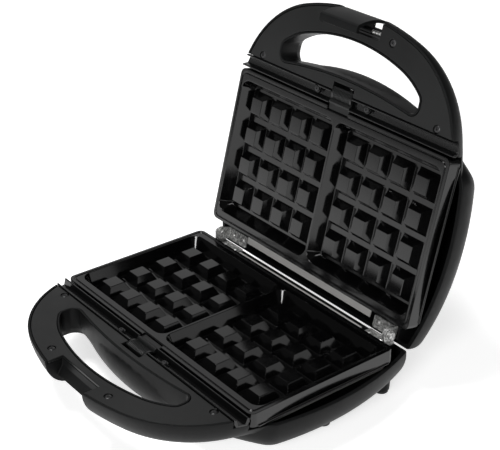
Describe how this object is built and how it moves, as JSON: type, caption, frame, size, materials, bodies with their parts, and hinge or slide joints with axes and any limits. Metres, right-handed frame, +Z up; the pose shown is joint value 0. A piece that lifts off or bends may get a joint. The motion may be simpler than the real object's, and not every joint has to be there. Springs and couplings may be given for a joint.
{
  "type": "sandwich maker",
  "caption": "Countertop two-slice waffle and sandwich maker with a hinged lid, handle latch and catch-held pegged plates.",
  "frame": {"origin": "centre of the open part's bounding box, on the surface it stands on", "axes": "+Z up, +Y from the handles to the hinge, +X to the right seen from the handles"},
  "size_m": [0.2524, 0.2867, 0.2531],
  "materials": {
    "black_plastic": "matte",
    "satin_black_plastic": "satin",
    "nonstick_coating": "satin",
    "polished_steel": "polished",
    "bare_steel": "satin",
    "element_sheath": "satin",
    "blackened_steel": "satin",
    "brass": "satin",
    "black_rubber": "matte",
    "clear_lens": "gloss",
    "white_plastic": "matte",
    "board_plastic": "matte"
  },
  "bodies": {
    "base": {"cord_gland": "black_rubber", "foot_pads": "black_rubber", "hinge_pin_left": "bare_steel", "hinge_pin_right": "bare_steel", "hinge_washer_left": "bare_steel", "hinge_washer_right": "bare_steel", "lower_catch_spring": "bare_steel", "lower_cover_screws": "blackened_steel", "lower_element_clips": "bare_steel", "lower_element_terminals": "brass", "lower_handle_cover": "satin_black_plastic", "lower_heat_strip": "satin_black_plastic", "lower_heating_element": "element_sheath", "lower_hinge_leaf_left": "bare_steel", "lower_hinge_leaf_right": "bare_steel", "lower_hinge_screws": "bare_steel", "lower_reflector_tray": "polished_steel", "lower_shell": "black_plastic", "lower_strip_screws": "blackened_steel", "lower_tray_screws": "bare_steel", "lower_waffle_plate": "nonstick_coating", "terminal_block": "white_plastic", "thermal_fuse": "bare_steel", "thermostat": "bare_steel"},
    "lid": {"indicator_board": "board_plastic", "indicator_lenses": "clear_lens", "latch_pin": "bare_steel", "upper_catch_spring": "bare_steel", "upper_cover_screws": "blackened_steel", "upper_element_clips": "bare_steel", "upper_element_terminals": "brass", "upper_handle_cover": "satin_black_plastic", "upper_heat_strip": "satin_black_plastic", "upper_heating_element": "element_sheath", "upper_hinge_leaf_left": "bare_steel", "upper_hinge_leaf_right": "bare_steel", "upper_hinge_screws": "bare_steel", "upper_reflector_tray": "polished_steel", "upper_shell": "black_plastic", "upper_strip_screws": "blackened_steel", "upper_tray_screws": "bare_steel", "upper_waffle_plate": "nonstick_coating"},
    "latch": {"latch_clip": "black_plastic"},
    "lower_release": {"lower_release_catch": "satin_black_plastic"},
    "upper_release": {"upper_release_catch": "satin_black_plastic"}
  },
  "joints": [
    {"name": "lid_hinge", "type": "hinge", "parent": "base", "child": "lid", "pos_m": [0, 0.06821, 0.0485], "axis": [1, 0, 0], "range_deg": [0, 104.3]},
    {"name": "latch_swing", "type": "hinge", "parent": "lid", "child": "latch", "pos_m": [0, 0.12301, 0.24124], "axis": [-1, 0, 0], "range_deg": [0, 35]},
    {"name": "lower_release_slide", "type": "slide", "parent": "base", "child": "lower_release", "axis": [0, -1, 0], "range_m": [0, 0.0032], "stiffness_N_per_m": 400, "springref_m": -0.002},
    {"name": "upper_release_slide", "type": "slide", "parent": "lid", "child": "upper_release", "axis": [0, 0.247, 0.969], "range_m": [0, 0.0032], "stiffness_N_per_m": 400, "springref_m": -0.002}
  ]
}
